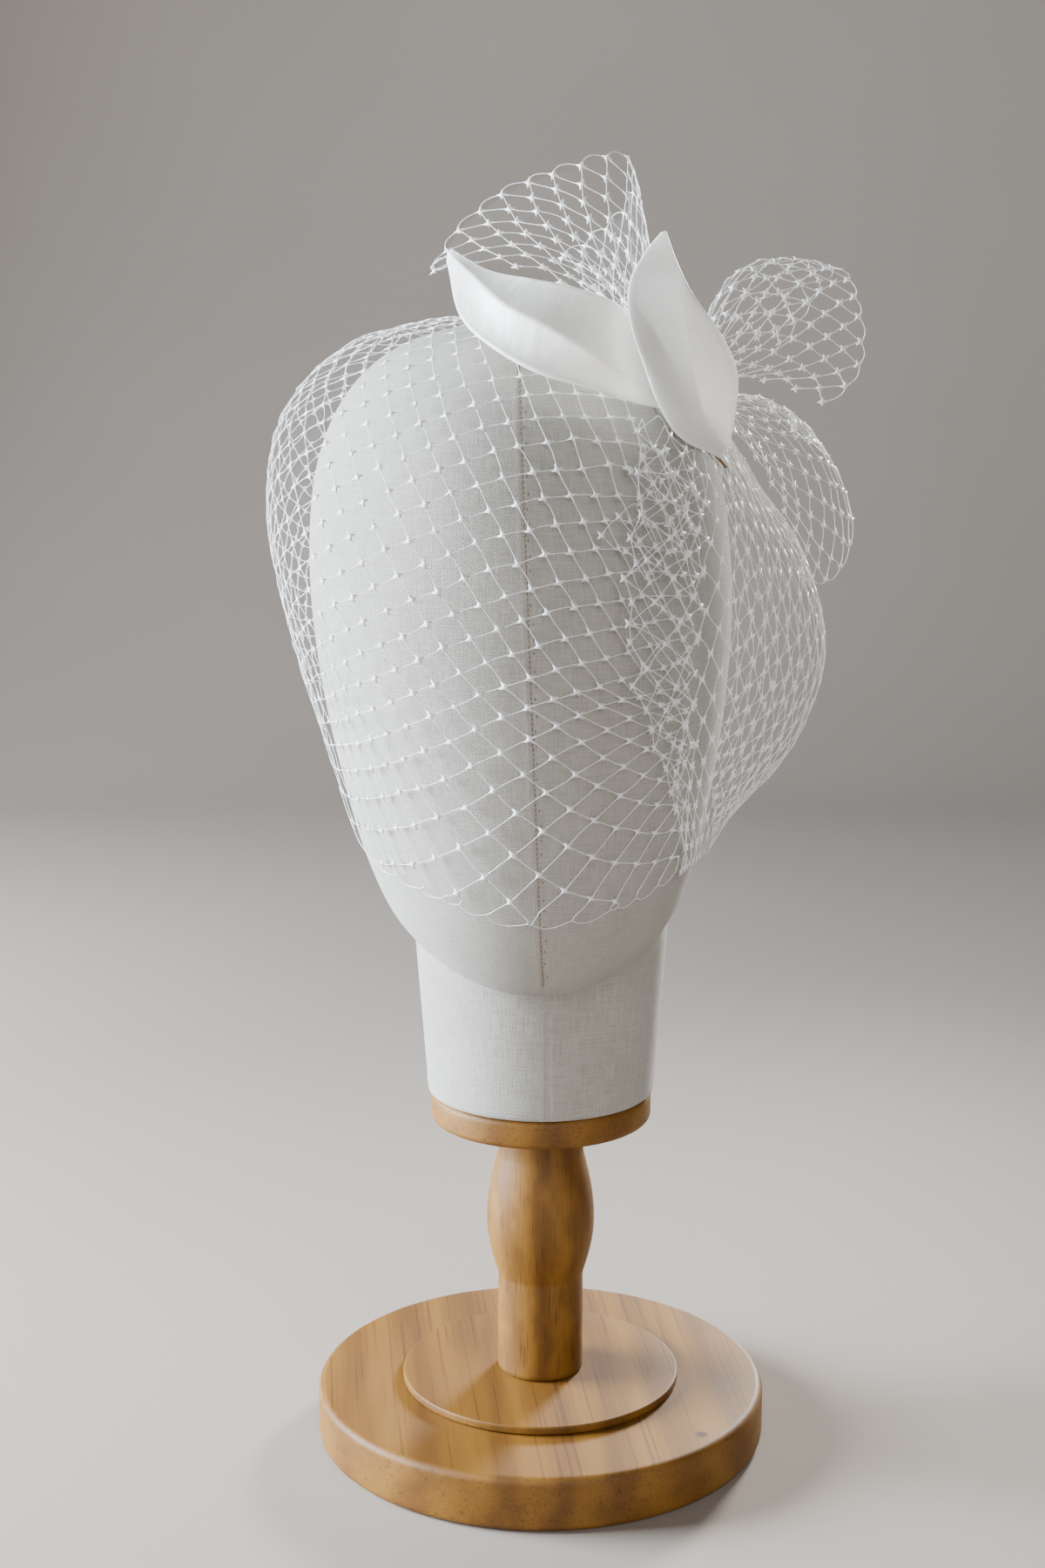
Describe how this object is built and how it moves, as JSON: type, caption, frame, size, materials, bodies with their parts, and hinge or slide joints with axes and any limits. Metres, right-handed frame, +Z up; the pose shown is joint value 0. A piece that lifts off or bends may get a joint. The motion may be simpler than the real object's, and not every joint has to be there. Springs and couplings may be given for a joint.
{
  "type": "bridal veil on a head form and stand",
  "caption": "Short bridal veil of diamond net gathered below satin leaves, with standing loops of net, worn by a linen-covered head form on a turned wooden stand.",
  "frame": {"origin": "centre of the underside of the stand's base, on the axis of the post", "axes": "+Z up along the post, -Y the way the face looks, +X the head's own left, where the leaves sit"},
  "size_m": [0.2254, 0.1984, 0.4815],
  "materials": {
    "wood": "clear satin lacquer over straight grain",
    "linen": "plain weave, matt",
    "net": "white diamond net with knots, open between its threads",
    "satin": "ivory satin with a soft sheen",
    "wire": "dark brown enamel"
  },
  "bodies": {
    "root": {"stand_base": "wood", "stand_riser": "wood", "stand_post": "wood", "neck_plate": "wood", "head_neck": "linen", "head_form": "linen", "gather_base": "linen", "veil_face": "net", "veil_fold": "net", "veil_side": "net", "veil_pouf_top": "net", "veil_pouf_right": "net", "veil_pouf_back": "net", "leaf_left": "satin", "leaf_right": "satin", "hair_pin": "wire"}
  },
  "joints": []
}
